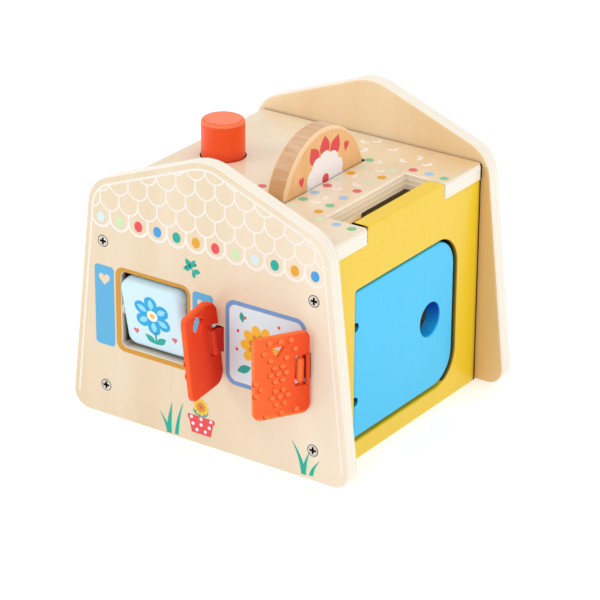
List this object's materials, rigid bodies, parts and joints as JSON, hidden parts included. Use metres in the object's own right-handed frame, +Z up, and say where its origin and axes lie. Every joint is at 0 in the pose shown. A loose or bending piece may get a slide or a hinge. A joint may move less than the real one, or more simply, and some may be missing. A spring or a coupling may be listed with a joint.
{
  "type": "wooden hide and seek house",
  "caption": "Toddler's wooden house with a finger-hole door, soft window shutters, turning picture tile and roof disc, sprung chimney and posting slot.",
  "frame": {"origin": "middle of the underside of the base board, on the ground", "axes": "+X to the right along the front, +Y from the front gable to the rear one, +Z up"},
  "size_m": [0.237, 0.2557, 0.213],
  "materials": {
    "pale_wood": "satin",
    "yellow_paint": "satin",
    "blue_paint": "satin",
    "beech": "satin",
    "tile_paint": "satin",
    "orange_paint": "satin",
    "orange_silicone": "matte",
    "screw_steel": "satin",
    "bright_steel": "satin",
    "washer_plastic": "matte"
  },
  "bodies": {
    "house": {"front_gable": "pale_wood", "rear_gable": "pale_wood", "front_screws": "screw_steel", "rear_screws": "screw_steel", "right_wall": "yellow_paint", "left_wall": "yellow_paint", "roof_board": "pale_wood", "base_board": "pale_wood", "roof_dowels": "pale_wood", "base_dowels": "pale_wood", "upper_hinge_eye": "bright_steel", "lower_hinge_eye": "bright_steel", "door_stop": "pale_wood", "chimney_shelf": "pale_wood", "shelf_screws": "screw_steel", "chimney_spring": "bright_steel", "left_axle_block": "pale_wood", "right_axle_block": "pale_wood", "tile_axle": "bright_steel", "tile_spacers": "washer_plastic", "tile_axle_keepers": "pale_wood", "left_hinge_loop": "orange_silicone", "right_hinge_loop": "orange_silicone", "left_loop_pin": "bright_steel", "right_loop_pin": "bright_steel"},
    "door_leaf": {"door": "blue_paint", "door_hinge_rod": "bright_steel"},
    "chimney": {"chimney_button": "orange_paint", "chimney_collar": "pale_wood"},
    "disc": {"spinning_disc": "beech", "disc_axle": "pale_wood", "disc_washers": "washer_plastic"},
    "tile": {"picture_tile": "tile_paint"},
    "left_leaf": {"left_shutter": "orange_silicone"},
    "right_leaf": {"right_shutter": "orange_silicone"}
  },
  "joints": [
    {"name": "door_hinge", "type": "hinge", "parent": "house", "child": "door_leaf", "pos_m": [0.0896, -0.0603, 0.0717], "axis": [0, 0, -1], "range_deg": [0, 95]},
    {"name": "left_shutter_hinge", "type": "hinge", "parent": "house", "child": "left_leaf", "pos_m": [0.0114, -0.1141, 0.087], "axis": [0, 0, 1], "range_deg": [-50, 82]},
    {"name": "right_shutter_hinge", "type": "hinge", "parent": "house", "child": "right_leaf", "pos_m": [0.0835, -0.1141, 0.087], "axis": [0, 0, 1], "range_deg": [-57, 118]},
    {"name": "chimney_press", "type": "slide", "parent": "house", "child": "chimney", "axis": [0, 0, -1], "range_m": [0, 0.015], "stiffness_N_per_m": 300, "springref_m": -0.01, "deforming": ["chimney_spring"]},
    {"name": "disc_spin", "type": "hinge", "parent": "house", "child": "disc", "pos_m": [0.0165, 0, 0.1603], "axis": [1, 0, 0], "continuous": true},
    {"name": "tile_spin", "type": "hinge", "parent": "house", "child": "tile", "pos_m": [-0.045, -0.101, 0.087], "axis": [1, 0, 0], "continuous": true}
  ]
}
